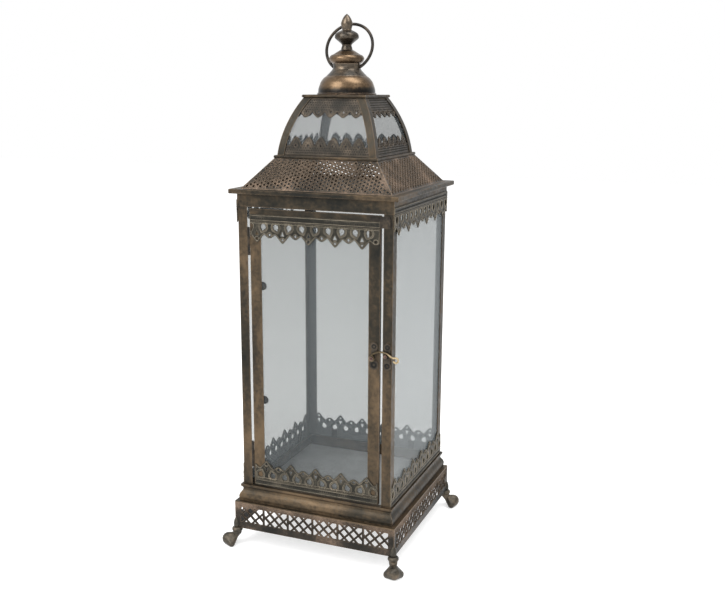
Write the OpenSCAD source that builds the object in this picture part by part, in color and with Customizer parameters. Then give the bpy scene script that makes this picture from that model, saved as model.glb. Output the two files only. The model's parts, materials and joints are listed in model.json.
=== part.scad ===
// Candle lantern: a square glazed body on a pierced plinth with four cast feet,
// a hinged glass door with a hook latch, a perforated roof, a curved glass
// cupola and a turned finial with a carrying ring.
// Millimetres, +Z up, feet on z = 0, the axis of the lantern on x = y = 0,
// the door towards -Y.

/* [Body] */
// Outer width across the corner posts
body_w = 238; // [220:1:250]
// Height of the glazed body, from the top of the sill to the eave
body_h = 444.5; // [400:0.5:480]
// Width of each leg of the angle posts
post_leg = 14; // [11:0.5:16]
// Sheet thickness of the posts
post_t = 1.2; // [0.8:0.1:1.6]
// Thickness of the flat glass panes
pane_t = 2.5; // [2:0.1:3]
// Height of the plain band under the eave
fascia_h = 18.5; // [14:0.5:24]
// Sheet thickness of the band under the eave
fascia_t = 1; // [0.8:0.1:1.5]

/* [Base] */
// Height of the feet under the plinth
foot_h = 28.5; // [24:0.5:34]
// Width of each foot pad along the ground
foot_pad_w = 30; // [24:0.5:34]
// Outer width of the plinth
plinth_w = 260; // [256:1:276]
// Height of the pierced plinth
plinth_h = 42; // [38:0.5:50]
// Sheet thickness of the plinth sides
plinth_t = 1.2; // [0.8:0.1:1.6]
// Thickness of the deck plate that closes the plinth
deck_t = 1.5; // [1:0.1:2]
// Height of the moulded sill that carries the posts
sill_h = 26; // [22:0.5:32]
// Height of the floor tray above the deck
floor_h = 7; // [5:0.5:10]

/* [Roof] */
// Outer width of the eave
eave_w = 258; // [254:1:276]
// Height of the rolled eave edge
eave_h = 6.5; // [5.5:0.1:8]
// Width of the perforated roof where it meets the eave
roof_base_w = 232; // [224:1:240]
// Width of the perforated roof at its top
roof_top_w = 159; // [152:1:166]
// Height of the perforated roof
roof_h = 42; // [36:0.5:48]
// Spacing of the round holes in the roof sheet
roof_hole_pitch = 6.2; // [6:0.1:9]
// Height of the ring between the roof and the cupola
ring_h = 4; // [3:0.1:6]
// Width of the cupola at its base
cupola_base_w = 153; // [150:0.5:156]
// Width of the cupola at its top
cupola_top_w = 95; // [90:0.5:100]
// Height of the cupola
cupola_h = 81.5; // [74:0.5:90]
// Radius of the bulging cupola faces
cupola_r = 190; // [150:1:260]
// Width of each face of the cupola ribs
rib_w = 10.5; // [9:0.5:14]
// Thickness of the top plate that carries the dome
cap_h = 4; // [3:0.1:6]

/* [Door] */
// Width of the door
door_w = 201; // [196:0.5:203]
// Clear gap above and below the door
door_gap = 2.5; // [2:0.1:4]
// Depth of the door frame
door_d = 5; // [4.6:0.1:6]
// Width of the door's stiles and top rail
stile_w = 17; // [15:0.5:20]
// Width of the door's bottom rail
bottom_rail_w = 11; // [9:0.5:13]
// Height of each hinge
hinge_h = 40; // [30:1:50]
// Height of the latch pivot above the sill
latch_h = 222.6; // [180:1:260]

/* [Pierced trim] */
// Height of the trim strip from its straight edge to its points
trim_h = 40; // [36:0.5:44]
// Distance from one big point to the next
trim_pitch = 40.6; // [36:0.2:46]
// Sheet thickness of the trim
trim_t = 1; // [0.8:0.1:1.2]

/* [Finial and ring] */
// Height of the turned stack above the top plate
finial_h = 114.2; // [108:0.2:122]
// Largest radius of the dome
dome_r = 42.7; // [40:0.1:45]
// Radius to the middle of the ring's wire
ring_r = 36; // [33:0.5:38]
// Thickness of the ring's wire
ring_wire = 4.4; // [3.6:0.1:5]
// Angle at which the ring leans back at rest
ring_lean = 20; // [16:1:30]

/* [Hidden] */

$fn = 48;
// Free space between pieces that move past each other
gap = 0.3;
// Radial clearance of pins in their holes
pin_fit = 0.05;
// Longer than anything it is used to cut
far = 600;

// Levels
z_plinth = foot_h;
z_deck = z_plinth + plinth_h;
z_sill = z_deck + deck_t;
z_body = z_sill + sill_h;
z_eave = z_body + body_h;
z_fascia = z_eave - fascia_h;
eave_sheet = 1.5;
z_eave_sheet = z_eave + eave_h - eave_sheet;
z_roof = z_eave + eave_h;
z_ring = z_roof + roof_h;
z_cupola = z_ring + ring_h;
z_cap = z_cupola + cupola_h;
z_dome = z_cap + cap_h;

// Half widths
body_r = body_w / 2;
plinth_r = plinth_w / 2;
fascia_r = body_r + fascia_t;
post_in = body_r - post_t;
pane_out = post_in;
pane_in = pane_out - pane_t;

// A smooth line through the given points, with n steps between neighbours
function spline(p, n) = concat([for (i = [0:len(p) - 2]) for (s = [0:n - 1])
    between(p[max(i - 1, 0)], p[i], p[i + 1], p[min(i + 2, len(p) - 1)], s / n)], [p[len(p) - 1]]);
function between(a, b, c, d, t) = 0.5 * (2 * b + (c - a) * t
    + (2 * a - 5 * b + 4 * c - d) * t * t + (3 * b - a - 3 * c + d) * t * t * t);
function backwards(p) = [for (i = [len(p) - 1:-1:0]) p[i]];

// The quarter of the plan that lies towards -Y, between the two diagonals
module front_quarter(z0, z1) {
    translate([0, 0, z0])
        linear_extrude(z1 - z0)
            polygon([[0, 0], [-far, -far], [far, -far]]);
}

// A closed square frame with the given section, as [half width, height] points
module square_ring(section, z0, h) {
    for (side = [0:3])
        rotate(90 * side)
            intersection() {
                translate([0, 0, z0])
                    rotate([90, 0, 90])
                        linear_extrude(far, center = true)
                            polygon([for (p = section) [-p[0], p[1]]]);
                front_quarter(z0 - 1, z0 + h + 1);
            }
}

// A plain square tube between two half widths
module square_tube(outer, inner, z0, h) {
    translate([0, 0, z0])
        linear_extrude(h)
            difference() {
                square(2 * outer, center = true);
                square(2 * inner, center = true);
            }
}

// What lies flat is stood up to face -Y, with its back at y
module stand(y) {
    translate([0, y, 0])
        rotate([90, 0, 0])
            children();
}

// A flat drawing of thickness t, stood up in the same way
module upright(y, t) {
    stand(y)
        linear_extrude(t)
            children();
}

// ---- Base ----

// Each foot is turned this far about its knuckle from the plinth's diagonal
foot_turn = 20;
toe_out = 14.2;
toe_ball = 9.5;
heel_out = 9;
heel_ball = 5.5;
waist_out = 4;
waist_ball = 5.2;
waist_drop = 14.5;
bun_r = 8.2;
bun_h = 7.5;
foot_sides = 20;

// One foot: a bun under the corner, a waist, and a wide pad with a round toe
module foot() {
    heel_side = foot_pad_w / 2 - heel_ball;
    difference() {
        translate([plinth_r - 2, -plinth_r + 2, 0])
            rotate(-45 - foot_turn) {
                translate([0, 0, z_plinth - bun_h / 2 + 0.5])
                    rotate_extrude() {
                        translate([bun_r - bun_h / 2, 0])
                            circle(bun_h / 2);
                        translate([0, -bun_h / 2])
                            square([bun_r - bun_h / 2, bun_h]);
                    }
                hull() {
                    translate([0, 0, z_plinth - bun_h])
                        sphere(waist_ball + 1.3, $fn = foot_sides);
                    translate([waist_out, 0, z_plinth - waist_drop])
                        sphere(waist_ball, $fn = foot_sides);
                }
                hull() {
                    translate([waist_out, 0, z_plinth - waist_drop])
                        sphere(waist_ball, $fn = foot_sides);
                    for (side = [-1, 1])
                        translate([heel_out, side * heel_side, heel_ball - 0.3])
                            sphere(heel_ball, $fn = foot_sides);
                    translate([toe_out, 0, toe_ball - 0.3])
                        sphere(toe_ball, $fn = foot_sides);
                }
            }
        translate([-plinth_r, -plinth_r, z_plinth])
            cube([plinth_w, plinth_w, plinth_h]);
        translate([0, -far, -far])
            cube([far, far, far]);
    }
}

module foot_front_right() {
    color("#55493b") foot();
}
module foot_back_right() {
    color("#55493b") rotate(90) foot();
}
module foot_back_left() {
    color("#55493b") rotate(180) foot();
}
module foot_front_left() {
    color("#55493b") rotate(270) foot();
}

lattice_low = 11;
lattice_edge = 6.5;
lattice_end = 8;
lattice_cells = 6;
strap_w = 3.2;
bar_w = 3.2;
strap_gap = 15.2;
// The straps sit a little left of the middle of their cell
strap_shift = 1.8;
// Plates run past the corner by this much before they are mitred
mitre_over = 5;

// One pierced plinth side: a strip with upright bars and crossing straps
module lattice_strip() {
    open_h = plinth_h - lattice_low - lattice_edge;
    open_w = plinth_w - 2 * lattice_end;
    cell = open_w / lattice_cells;
    difference() {
        translate([-plinth_r - mitre_over, z_plinth])
            square([plinth_w + 2 * mitre_over, plinth_h]);
        difference() {
            translate([-open_w / 2, z_plinth + lattice_low])
                square([open_w, open_h]);
            for (i = [0:lattice_cells])
                translate([-open_w / 2 + i * cell - bar_w / 2, z_plinth])
                    square([bar_w, plinth_h]);
            for (i = [0:lattice_cells - 1])
                translate([-open_w / 2 + i * cell, z_plinth + lattice_low])
                    intersection() {
                        square([cell, open_h]);
                        for (k = [-1:1], lean = [-45, 45])
                            translate([cell / 2 - strap_shift + k * strap_gap, open_h / 2])
                                rotate(lean)
                                    square([strap_w, 2 * plinth_h], center = true);
                    }
        }
    }
}

module plinth_side() {
    color("#5d5446")
        intersection() {
            upright(-plinth_r + plinth_t, plinth_t)
                lattice_strip();
            front_quarter(z_plinth - 1, z_deck + 1);
        }
}

module plinth_front() {
    plinth_side();
}
module plinth_right() {
    rotate(90) plinth_side();
}
module plinth_back() {
    rotate(180) plinth_side();
}
module plinth_left() {
    rotate(270) plinth_side();
}

deck_in = body_r - 14;

module deck_plate() {
    color("#4f463b") square_tube(plinth_r, deck_in, z_deck, deck_t);
}

tray_r = body_r - 2.5;
tray_t = 1;

// The floor that the candles stand on: a tray turned over, on its own rim
module floor_tray() {
    color("#8d9290")
        translate([-tray_r, -tray_r, z_sill])
            difference() {
                cube([2 * tray_r, 2 * tray_r, floor_h]);
                translate([tray_t, tray_t, -1])
                    cube([2 * (tray_r - tray_t), 2 * (tray_r - tray_t), floor_h + 1 - tray_t]);
            }
}

sill_in = tray_r + 0.5;
sill_lip_in = pane_in - 2.5;
sill_lip_t = 1.5;

// The moulded sill: a bead at the bottom, a cove, and a square top edge
module sill() {
    bead = body_r + 6;
    cove = body_r + 1.4;
    top = body_r + 4;
    curve = spline([[bead - 0.5, sill_h * 0.1], [bead + 0.2, sill_h * 0.26],
        [bead - 1.2, sill_h * 0.45], [cove + 0.5, sill_h * 0.62],
        [cove, sill_h * 0.75], [top - 0.6, sill_h * 0.86]], 4);
    color("#5a4e3f")
        square_ring(concat([[sill_in, 0], [bead - 0.5, 0]], curve,
            [[top, sill_h * 0.88], [top, sill_h], [sill_lip_in, sill_h],
            [sill_lip_in, sill_h - sill_lip_t], [sill_in, sill_h - sill_lip_t]]), z_sill, sill_h);
}

// ---- Body ----

module post() {
    color("#5b4d3e")
        translate([0, 0, z_body])
            linear_extrude(z_eave_sheet - z_body)
                difference() {
                    translate([body_r - post_leg, -body_r])
                        square(post_leg);
                    translate([body_r - post_leg - 1, -body_r + post_t])
                        square(post_leg - post_t + 1);
                }
}

module post_front_right() {
    post();
}
module post_back_right() {
    rotate(90) post();
}
module post_back_left() {
    rotate(180) post();
}
module post_front_left() {
    rotate(270) post();
}

module fascia() {
    color("#54473a") square_tube(fascia_r, body_r, z_fascia, z_eave_sheet - z_fascia);
}

eave_lip = 3.5;
eave_in = body_r - 11;

// The eave: a flat sheet with a rolled edge
module eave() {
    edge = eave_w / 2;
    color("#64584a")
        square_ring([[eave_in, eave_h - eave_sheet], [edge - eave_lip, eave_h - eave_sheet],
            [edge - eave_lip, 0], [edge - 0.8, 0], [edge, 0.8], [edge, eave_h - 0.8],
            [edge - 0.8, eave_h], [eave_in, eave_h]], z_eave, eave_h);
}

pane_top_gap = 2.5;

module pane(half) {
    color("#cfd6d6", 0.35)
        translate([-half, -pane_out, z_body])
            cube([2 * half, pane_t, z_eave_sheet - pane_top_gap - z_body]);
}
module pane_right() {
    rotate(90) pane(pane_out);
}
module pane_back() {
    rotate(180) pane(pane_in - gap);
}
module pane_left() {
    rotate(270) pane(pane_out);
}

clip_w = 10;
clip_t = 1.2;
clip_h = 14;
clip_place = 70;

// Bent tabs that hold the panes against the posts, on the sill and under the eave
module pane_clips() {
    color("#3f3a34")
        for (side = [1:3], place = [-1, 1])
            rotate(90 * side)
                translate([place * clip_place - clip_w / 2, -pane_in, 0]) {
                    translate([0, 0, z_body])
                        cube([clip_w, clip_t, clip_h]);
                    translate([0, 0, z_eave_sheet - clip_h])
                        cube([clip_w, clip_t, clip_h]);
                }
}

// ---- Pierced trim ----

valley = 0.7;
small_point = 0.83;
drop_r = 4;
drop_lean = 20;
bead_w = 1.3;
bead_t = 0.6;
bead_up = 9.6;

// Outline of one repeat to the right of a big point, as [along, up] shares
repeat_shape = [[0, 1], [0.045, 0.975], [0.11, 0.9], [0.2, 0.79], [0.285, valley],
    [0.35, 0.75], [0.43, 0.815], [0.5, small_point]];

// A teardrop hole that leans towards the tip of the big point
module drop_hole(side) {
    rotate(side * drop_lean) {
        circle(drop_r);
        polygon([[-drop_r * 0.94, drop_r * 0.34], [drop_r * 0.94, drop_r * 0.34], [0, drop_r * 1.6]]);
    }
}

// Outline of a pierced strip standing up from y = 0, with one big point at phase
module trim_outline(half, phase) {
    count = ceil(2 * half / trim_pitch) + 2;
    points = [for (i = [-count:count]) phase + i * trim_pitch];
    outline = [for (p = points) for (q = concat(
        [for (s = backwards(repeat_shape)) [-s[0], s[1]]],
        [for (k = [1:len(repeat_shape) - 2]) repeat_shape[k]]))
        [p + q[0] * trim_pitch, q[1] * trim_h]];
    intersection() {
        difference() {
            polygon(concat([[outline[0][0], 0]], outline, [[outline[len(outline) - 1][0], 0]]));
            for (p = points)
                if (abs(p) < half + trim_pitch) {
                    for (side = [-1, 1])
                        translate([p + side * trim_pitch * 0.255, trim_h * 0.43])
                            drop_hole(side);
                    translate([p, trim_h * 0.67])
                        polygon([[-2.9, 2.6], [2.9, 2.6], [0, -4.2]]);
                    translate([p, trim_h * 0.865])
                        circle(1.6);
                    translate([p + trim_pitch / 2, trim_h * 0.71])
                        circle(1.8);
                }
        }
        translate([-half, 0])
            square([2 * half, trim_h]);
    }
}

// The strip in its thickness, with a raised bead above its plain edge
module trim_strip(half, phase) {
    linear_extrude(trim_t)
        trim_outline(half, phase);
    translate([-half, bead_up, 0])
        cube([2 * half, bead_w, trim_t + bead_t]);
}

side_trim_drop = 9.5;

module side_trims_top() {
    color("#57534a")
        for (side = [1:3])
            rotate(90 * side)
                stand(-fascia_r)
                    translate([0, z_fascia + side_trim_drop, 0])
                        mirror([0, 1, 0])
                            trim_strip(fascia_r, trim_pitch / 2);
}

module side_trims_bottom() {
    color("#57534a")
        for (side = [1:3])
            rotate(90 * side)
                stand(-body_r)
                    translate([0, z_body, 0])
                        trim_strip(body_r, trim_pitch / 2);
}

// ---- Roof ----

roof_sheet = 1;
roof_border = 5;
roof_hole_r = roof_hole_pitch * 0.3;

module roof_panel() {
    run = (roof_base_w - roof_top_w) / 2;
    slope = norm([run, roof_h]);
    column_step = roof_hole_pitch * sin(60);
    rows = floor((slope - 2 * roof_border) / roof_hole_pitch);
    columns = ceil(roof_base_w / 2 / column_step);
    color("#6a5f53")
        intersection() {
            translate([0, -roof_base_w / 2, z_roof])
                rotate([atan2(roof_h, run), 0, 0])
                    translate([0, 0, -roof_sheet])
                        linear_extrude(roof_sheet)
                            difference() {
                                translate([-roof_base_w / 2 - mitre_over, -mitre_over])
                                    square([roof_base_w + 2 * mitre_over, slope + 2 * mitre_over]);
                                for (row = [0:rows], column = [-columns:columns]) {
                                    v = roof_border + (row + abs(column % 2) / 2) * roof_hole_pitch;
                                    u = column * column_step;
                                    if (abs(u) < roof_base_w / 2 - v * run / slope - roof_border)
                                        translate([u, v])
                                            circle(roof_hole_r, $fn = 16);
                                }
                            }
            front_quarter(z_roof, z_ring);
        }
}

module roof_front() {
    roof_panel();
}
module roof_right() {
    rotate(90) roof_panel();
}
module roof_back() {
    rotate(180) roof_panel();
}
module roof_left() {
    rotate(270) roof_panel();
}

module roof_ring() {
    edge = roof_top_w / 2 + 1;
    inner = cupola_base_w / 2 - 6;
    color("#5f5346")
        square_ring([[inner, 0], [edge - 0.9, 0], [edge, ring_h * 0.3], [edge, ring_h * 0.7],
            [edge - 0.9, ring_h], [inner, ring_h]], z_ring, ring_h);
}

// ---- Cupola ----

cupola_b = cupola_base_w / 2;
cupola_t = cupola_top_w / 2;
cupola_chord = norm([cupola_b - cupola_t, cupola_h]);
cupola_sag = sqrt(cupola_r * cupola_r - cupola_chord * cupola_chord / 4);
// Centre of the arc of each face, measured from the axis and from the base
arc_x = (cupola_b + cupola_t) / 2 - cupola_sag * cupola_h / cupola_chord;
arc_z = cupola_h / 2 - cupola_sag * (cupola_b - cupola_t) / cupola_chord;
rib_t = 1.2;
glass_t = 2;

// Upright section of the cupola, drawn in from its face by inset
module cupola_section(inset) {
    translate([0, z_cupola])
        intersection() {
            translate([arc_x, arc_z])
                circle(cupola_r - inset, $fn = 180);
            translate([-arc_x, arc_z])
                circle(cupola_r - inset, $fn = 180);
            translate([-cupola_b, 0])
                square([cupola_base_w, cupola_h]);
        }
}

// The section drawn out along Y
module vault(inset) {
    rotate([90, 0, 0])
        linear_extrude(2 * cupola_base_w, center = true)
            cupola_section(inset);
}

// The space inside all four faces
module cupola_space(inset) {
    intersection() {
        vault(inset);
        rotate(90) vault(inset);
    }
}

// The part of the shell between two insets on the face towards -Y
module cupola_face(inset, t, side_inset) {
    intersection() {
        difference() {
            rotate(90) vault(inset);
            rotate(90) vault(inset + t);
        }
        vault(side_inset);
        front_quarter(z_cupola - 1, z_cap + 1);
    }
}

module cupola_ribs() {
    color("#5e5040")
        difference() {
            cupola_space(0);
            cupola_space(rib_t);
            vault(rib_w);
            rotate(90) vault(rib_w);
        }
}

module cupola_glass() {
    color("#cfd6d6", 0.35) cupola_face(rib_t + trim_t, glass_t, rib_t + trim_t + glass_t + gap);
}
module cupola_glass_front() {
    cupola_glass();
}
module cupola_glass_right() {
    rotate(90) cupola_glass();
}
module cupola_glass_back() {
    rotate(180) cupola_glass();
}
module cupola_glass_left() {
    rotate(270) cupola_glass();
}

fringe_pitch = 19.4;
fringe_top_h = 28;
fringe_top_cut = 8;
fringe_low_h = 27;
fringe_low_cut = 12.5;

// A row of pointed arches standing up from y = 0
module arches(count, h, cut) {
    half = count * fringe_pitch / 2;
    difference() {
        union() {
            translate([-cupola_b, 0])
                square([cupola_base_w, h - cut]);
            for (i = [0:count - 1])
                translate([-half + (i + 0.5) * fringe_pitch, 0])
                    polygon([[-fringe_pitch / 2, h - cut - 1], [-fringe_pitch * 0.36, h - cut * 0.55],
                        [-fringe_pitch * 0.14, h - cut * 0.12], [0, h], [fringe_pitch * 0.14, h - cut * 0.12],
                        [fringe_pitch * 0.36, h - cut * 0.55], [fringe_pitch / 2, h - cut - 1]]);
        }
        for (i = [0:count - 1])
            translate([-half + (i + 0.5) * fringe_pitch, h - cut])
                circle(1.3, $fn = 16);
    }
}

module cupola_trims_bottom() {
    color("#57534a")
        for (side = [0:3])
            rotate(90 * side)
                intersection() {
                    cupola_face(rib_t, trim_t, rib_t + trim_t + gap);
                    upright(0, far)
                        translate([0, z_cupola])
                            arches(6, fringe_low_h, fringe_low_cut);
                }
}

module cupola_trims_top() {
    color("#57534a")
        for (side = [0:3])
            rotate(90 * side)
                intersection() {
                    cupola_face(rib_t, trim_t, rib_t + trim_t + gap);
                    upright(0, far)
                        translate([0, z_cap])
                            mirror([0, 1])
                                arches(7, fringe_top_h, fringe_top_cut);
                }
}

// ---- Turned stack ----

rod_r = 2.5;
cap_over = 2;

module cap_plate() {
    edge = cupola_t + cap_over;
    color("#5a4e40")
        difference() {
            union() {
                square_ring([[1, 0], [edge - 1, 0], [edge, cap_h * 0.3], [edge, cap_h * 0.7],
                    [edge - 1, cap_h], [1, cap_h]], z_cap, cap_h);
                translate([-2, -2, z_cap])
                    cube([4, 4, cap_h]);
            }
            translate([0, 0, z_cap - 1])
                cylinder(r = rod_r + pin_fit, h = cap_h + 2);
        }
}

// Heights of the turned pieces, as shares of the stack
dome_top = finial_h * 0.2294;
neck_top = finial_h * 0.389;
flange_top = finial_h * 0.537;
seam_r = dome_r * 0.705;
neck_r = dome_r * 0.468;
dome_wall = 2;

// A turned piece between an outer line and the same line drawn in by wall
module turned_shell(line, wall) {
    translate([0, 0, z_dome])
        rotate_extrude()
            polygon(concat(line, backwards([for (p = line) [p[0] - wall, p[1]]])));
}

module dome() {
    color("#7a573c")
        turned_shell(concat([[dome_r + 0.8, 0], [dome_r + 0.8, 1.6]],
            spline([[dome_r - 0.6, 2.6], [dome_r * 0.972, dome_top * 0.3],
            [dome_r * 0.934, dome_top * 0.5], [dome_r * 0.885, dome_top * 0.7],
            [seam_r + 3.6, dome_top * 0.9], [seam_r, dome_top]], 4)), dome_wall);
}

pin_z = z_dome + finial_h * 0.35;
ring_pin_r = ring_wire / 2;
// A bent wire is a little thicker at its bends
bend_bulge = 0.12;

module neck() {
    rise = neck_top - dome_top;
    color("#6f543f")
        difference() {
            turned_shell(spline([[seam_r, dome_top], [neck_r * 1.23, dome_top + rise * 0.3],
                [neck_r * 1.04, dome_top + rise * 0.55], [neck_r, dome_top + rise * 0.78],
                [neck_r * 1.035, neck_top]], 4), dome_wall);
            translate([0, 0, pin_z])
                rotate([0, 90, 0])
                    cylinder(r = ring_pin_r + pin_fit, h = 4 * neck_r, center = true);
        }
}

module flange() {
    rise = flange_top - neck_top;
    color("#7d5a3e")
        translate([0, 0, z_dome])
            rotate_extrude()
                polygon(concat([[rod_r + pin_fit, neck_top]],
                    spline([[neck_r * 1.035, neck_top], [neck_r * 1.2, neck_top + rise * 0.16],
                    [neck_r * 1.28, neck_top + rise * 0.42], [neck_r * 1.16, neck_top + rise * 0.66],
                    [neck_r * 0.98, neck_top + rise * 0.76], [neck_r * 0.66, flange_top]], 4),
                    [[rod_r + pin_fit, flange_top]]));
}

rod_top = finial_h * 0.72;

module finial() {
    h = finial_h;
    color("#6b5a4a")
        translate([0, 0, z_dome])
            rotate_extrude()
                polygon(concat([[rod_r + pin_fit, flange_top], [neck_r * 0.66, flange_top]],
                    spline([[neck_r * 0.42, h * 0.56], [neck_r * 0.39, h * 0.585],
                    [neck_r * 0.355, h * 0.62], [neck_r * 0.62, h * 0.662],
                    [neck_r * 0.84, h * 0.695], [neck_r * 0.88, h * 0.724],
                    [neck_r * 0.8, h * 0.758], [neck_r * 0.58, h * 0.783],
                    [neck_r * 0.37, h * 0.799], [neck_r * 0.35, h * 0.815],
                    [neck_r * 0.42, h * 0.86], [neck_r * 0.42, h * 0.889],
                    [neck_r * 0.31, h * 0.938], [neck_r * 0.17, h * 0.975]], 3),
                    [[0, h], [0, rod_top + 1], [rod_r + pin_fit, rod_top + 1]]));
}

nut_h = 4;
rod_tail = nut_h + 3;

module tie_rod() {
    color("#8a8a86")
        translate([0, 0, z_cap - rod_tail])
            cylinder(r = rod_r, h = rod_tail + cap_h + rod_top);
}

module tie_nut() {
    color("#8a8a86")
        translate([0, 0, z_cap - nut_h])
            difference() {
                cylinder(r = 5, h = nut_h, $fn = 6);
                translate([0, 0, -1])
                    cylinder(r = rod_r + pin_fit, h = nut_h + 2);
            }
}

// Distance of the ring's centre above its pins, where the ring meets the neck
ring_foot = neck_r + 1.6;
ring_rise = sqrt(ring_r * ring_r - ring_foot * ring_foot);

module ring_handle() {
    open = acos(ring_rise / ring_r);
    color("#2e2823")
        translate([0, 0, pin_z])
            rotate([-ring_lean, 0, 0]) {
                translate([0, 0, ring_rise])
                    rotate([90, 0, 0])
                        rotate(-90 + open)
                            rotate_extrude(angle = 360 - 2 * open)
                                translate([ring_r, 0])
                                    circle(ring_pin_r, $fn = 24);
                for (side = [-1, 1]) {
                    translate([side * ring_foot, 0, 0])
                        sphere(ring_pin_r + bend_bulge, $fn = 24);
                    translate([side * (ring_foot + neck_r - 4) / 2, 0, 0])
                        rotate([0, 90, 0])
                            cylinder(r = ring_pin_r, h = ring_foot - neck_r + 4, center = true);
                }
            }
}

// ---- Door ----

door_r = door_w / 2;
door_face = -body_r;
z_door = z_body + door_gap;
door_h = z_fascia - z_body - 2 * door_gap;
door_skin = 1.2;

module door_frame() {
    color("#5b4d3e")
        difference() {
            translate([-door_r, door_face, z_door])
                cube([door_w, door_d, door_h]);
            translate([-door_r + door_skin, door_face + door_skin, z_door + door_skin])
                cube([door_w - 2 * door_skin, door_d, door_h - 2 * door_skin]);
            translate([-door_r + stile_w, door_face - 1, z_door + bottom_rail_w])
                cube([door_w - 2 * stile_w, door_d, door_h - bottom_rail_w - stile_w]);
        }
}

glass_edge = 3.5;
glass_back = door_face + door_skin + pane_t;

module door_glass() {
    color("#cfd6d6", 0.35)
        translate([-door_r + glass_edge, door_face + door_skin, z_door + door_skin + 1])
            cube([door_w - 2 * glass_edge, pane_t, door_h - 2 * door_skin - 3]);
}

disc_r = 6.2;
clip_levels = [0.32, 0.732];

// Round clips and straight tabs behind the glass, on the rim of the frame
module door_glass_clips() {
    t = door_d - door_skin - pane_t - 0.1;
    arm_h = 6;
    color("#3f3a34")
        for (level = clip_levels) {
            z = z_door + level * door_h;
            union() {
                translate([-door_r + stile_w, glass_back, z])
                    rotate([-90, 0, 0])
                        cylinder(r = disc_r, h = t);
                translate([-door_r + door_skin, glass_back, z - arm_h / 2])
                    cube([stile_w - door_skin, t, arm_h]);
            }
            translate([door_r - stile_w + 3, glass_back, z - arm_h / 2])
                cube([stile_w - 3 - door_skin, t, arm_h]);
        }
}

trim_side = 1;
trim_top_inset = 8;

module door_trim_top() {
    color("#57534a")
        stand(door_face)
            translate([0, z_door + door_h - trim_top_inset, 0])
                mirror([0, 1, 0])
                    trim_strip(door_r - trim_side, -trim_pitch * 0.19);
}

module door_trim_bottom() {
    color("#57534a")
        stand(door_face)
            translate([0, z_door, 0])
                trim_strip(door_r - trim_side, trim_pitch * 0.03);
}

// Hinges: the pin stands in the gap between the door and the left post
gap_left = body_r - post_leg - door_r;
pin_x = -door_r - gap_left / 2;
barrel_r = gap_left / 2 - 0.75;
hinge_pin_r = 0.9;
leaf_t = gap_left / 2 - barrel_r - 0.35;
leaf_d = door_d - 0.2;
hinge_levels = [0.113, 0.886];
knuckle_h = (hinge_h - 2 * gap) / 3;
post_leaf_w = 9;

module knuckle(z) {
    translate([pin_x, door_face, z])
        cylinder(r = barrel_r, h = knuckle_h);
}

module pin_hole(z) {
    translate([pin_x, door_face, z - 1])
        cylinder(r = hinge_pin_r + pin_fit, h = hinge_h + 2);
}

module hinge_door_leaves() {
    color("#2f2b27")
        for (level = hinge_levels) {
            z = z_door + level * door_h - hinge_h / 2;
            difference() {
                union() {
                    knuckle(z + knuckle_h + gap);
                    translate([pin_x, door_face - 0.6, z + knuckle_h + gap])
                        cube([gap_left / 2, 1.2, knuckle_h]);
                    translate([-door_r - leaf_t, door_face, z])
                        cube([leaf_t, leaf_d, hinge_h]);
                }
                pin_hole(z);
            }
        }
}

module hinge_post_leaves() {
    post_edge = -body_r + post_leg;
    color("#2f2b27")
        for (level = hinge_levels) {
            z = z_door + level * door_h - hinge_h / 2;
            difference() {
                union() {
                    for (k = [0, 2])
                        translate([0, 0, k * (knuckle_h + gap)]) {
                            knuckle(z);
                            translate([post_edge, door_face - 0.6, z])
                                cube([pin_x - post_edge, 1.2, knuckle_h]);
                        }
                    translate([post_edge, door_face, z])
                        cube([leaf_t, post_t + leaf_t, hinge_h]);
                    translate([post_edge - post_leaf_w, door_face + post_t, z])
                        cube([post_leaf_w + leaf_t, leaf_t, hinge_h]);
                }
                pin_hole(z);
            }
        }
}

module hinge_pins() {
    color("#3a352f")
        for (level = hinge_levels)
            translate([pin_x, door_face, z_door + level * door_h - hinge_h / 2]) {
                cylinder(r = hinge_pin_r, h = hinge_h + 1);
                translate([0, 0, hinge_h])
                    cylinder(r = barrel_r, h = 1);
            }
}

// ---- Latch ----

plate_t = 1.2;
plate_face = door_face - plate_t;
latch_x = door_r - 10.6;
latch_z = z_body + latch_h;
keeper_x = body_r - post_leg / 2;
hook_wire_r = 1.4;
rivet_r = 1.6;
eye_r = 4.2;
hook_y = plate_face - gap - hook_wire_r;

// Round lobes in a line, each [along, up, radius], joined by their overlaps
module lobes(list) {
    for (l = list)
        translate([l[0], l[1]])
            circle(l[2]);
}

module latch_plate() {
    color("#4a463d")
        upright(door_face, plate_t)
            translate([latch_x, latch_z])
                lobes([[2.4, 17, 5.6], [2.6, 9, 4.6], [0.4, 1, 5.4], [2.4, -9.8, 7]]);
}

module latch_rivet() {
    color("#8a7350")
        translate([latch_x, plate_face, latch_z])
            rotate([90, 0, 0]) {
                cylinder(r = rivet_r, h = 2 * hook_wire_r + 2 * gap + 0.5);
                translate([0, 0, 2 * hook_wire_r + 2 * gap])
                    cylinder(r = rivet_r * 1.8, h = 1.2);
            }
}

keeper_hole_r = 1.4;

module keeper_plate() {
    color("#4a463d")
        upright(-body_r, plate_t)
            translate([keeper_x, latch_z])
                difference() {
                    lobes([[0.3, 17.2, 5.5], [-0.4, 10.5, 4.4], [-0.6, 4.5, 5.5],
                        [0, -2.5, 4.6], [0, -9.6, 6.2]]);
                    translate([0, -9.6])
                        circle(keeper_hole_r);
                }
}

peg_r = 2.4;
peg_l = 4.6;
peg_x = keeper_x - 1.2;
hook_reach = 21;
hook_mid = (peg_x - latch_x) * 0.68;
hook_centre_z = latch_z - 10.6;
peg_z = hook_centre_z
    + sqrt(pow(hook_reach - hook_wire_r - gap - peg_r, 2) - pow(peg_x - latch_x - hook_mid, 2));

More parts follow.
